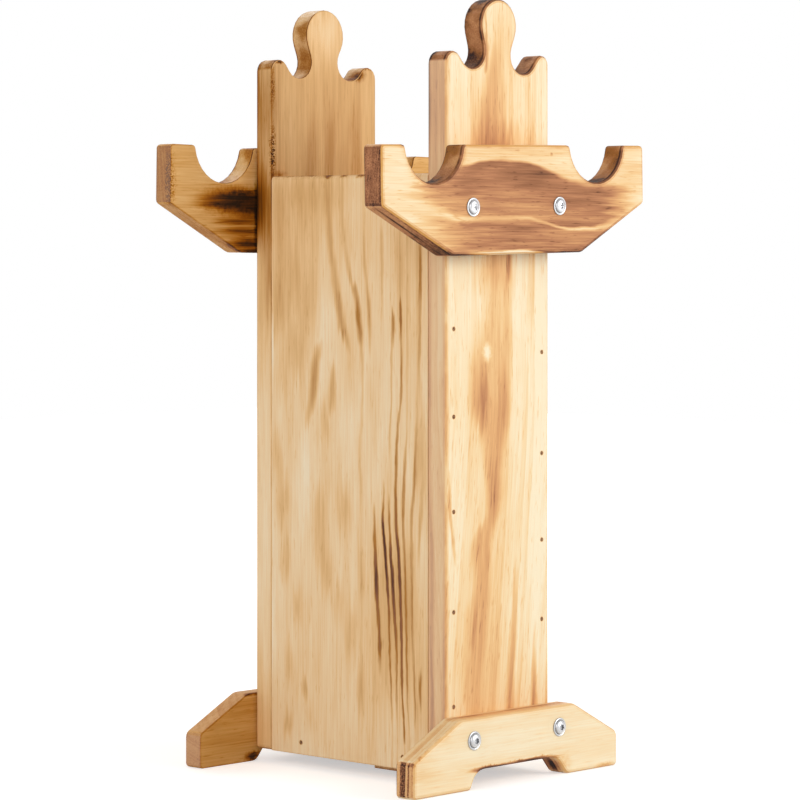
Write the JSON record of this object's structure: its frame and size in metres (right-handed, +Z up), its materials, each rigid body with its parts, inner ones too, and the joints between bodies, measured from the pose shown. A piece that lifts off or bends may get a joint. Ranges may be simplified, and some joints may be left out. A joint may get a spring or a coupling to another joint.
{
  "type": "archery bow stand",
  "caption": "Free-standing wooden archery stand: an open-topped arrow well on arched feet, with a U-notched cross bar for bows at each end and rounded finials.",
  "frame": {"origin": "on the ground, under the middle of the bounding box", "axes": "+X along the bow bars to the right of the front, +Y from the front board to the rear board, +Z up"},
  "size_m": [0.3172, 0.259, 0.6231],
  "materials": {
    "end_boards": "scorched pine under clear satin varnish",
    "side_panels": "scorched pine under clear satin varnish",
    "floor": "bare pine",
    "bow_bars": "scorched pine under clear satin varnish",
    "feet": "pine under clear satin varnish, edges scorched",
    "screws": "bright zinc plating",
    "nails": "dull steel, dark in its punched hole"
  },
  "bodies": {
    "root": {"front_board": "end_boards", "rear_board": "end_boards", "left_side_panel": "side_panels", "right_side_panel": "side_panels", "floor_board": "floor", "floor_cleat": "floor", "front_bow_bar": "bow_bars", "rear_bow_bar": "bow_bars", "front_foot": "feet", "rear_foot": "feet", "front_bar_screw_left": "screws", "front_bar_screw_right": "screws", "front_foot_screw_left": "screws", "front_foot_screw_right": "screws", "rear_bar_screw_left": "screws", "rear_bar_screw_right": "screws", "rear_foot_screw_left": "screws", "rear_foot_screw_right": "screws", "front_nail_left_1": "nails", "front_nail_left_2": "nails", "front_nail_left_3": "nails", "front_nail_left_4": "nails", "front_nail_left_5": "nails", "front_nail_right_1": "nails", "front_nail_right_2": "nails", "front_nail_right_3": "nails", "front_nail_right_4": "nails", "rear_nail_left_1": "nails", "rear_nail_left_2": "nails", "rear_nail_left_3": "nails", "rear_nail_left_4": "nails", "rear_nail_left_5": "nails", "rear_nail_right_1": "nails", "rear_nail_right_2": "nails", "rear_nail_right_3": "nails", "rear_nail_right_4": "nails", "rear_nail_right_5": "nails", "floor_nail_left_front": "nails", "floor_nail_left_rear": "nails", "floor_nail_right_front": "nails", "floor_nail_right_rear": "nails"}
  },
  "joints": []
}
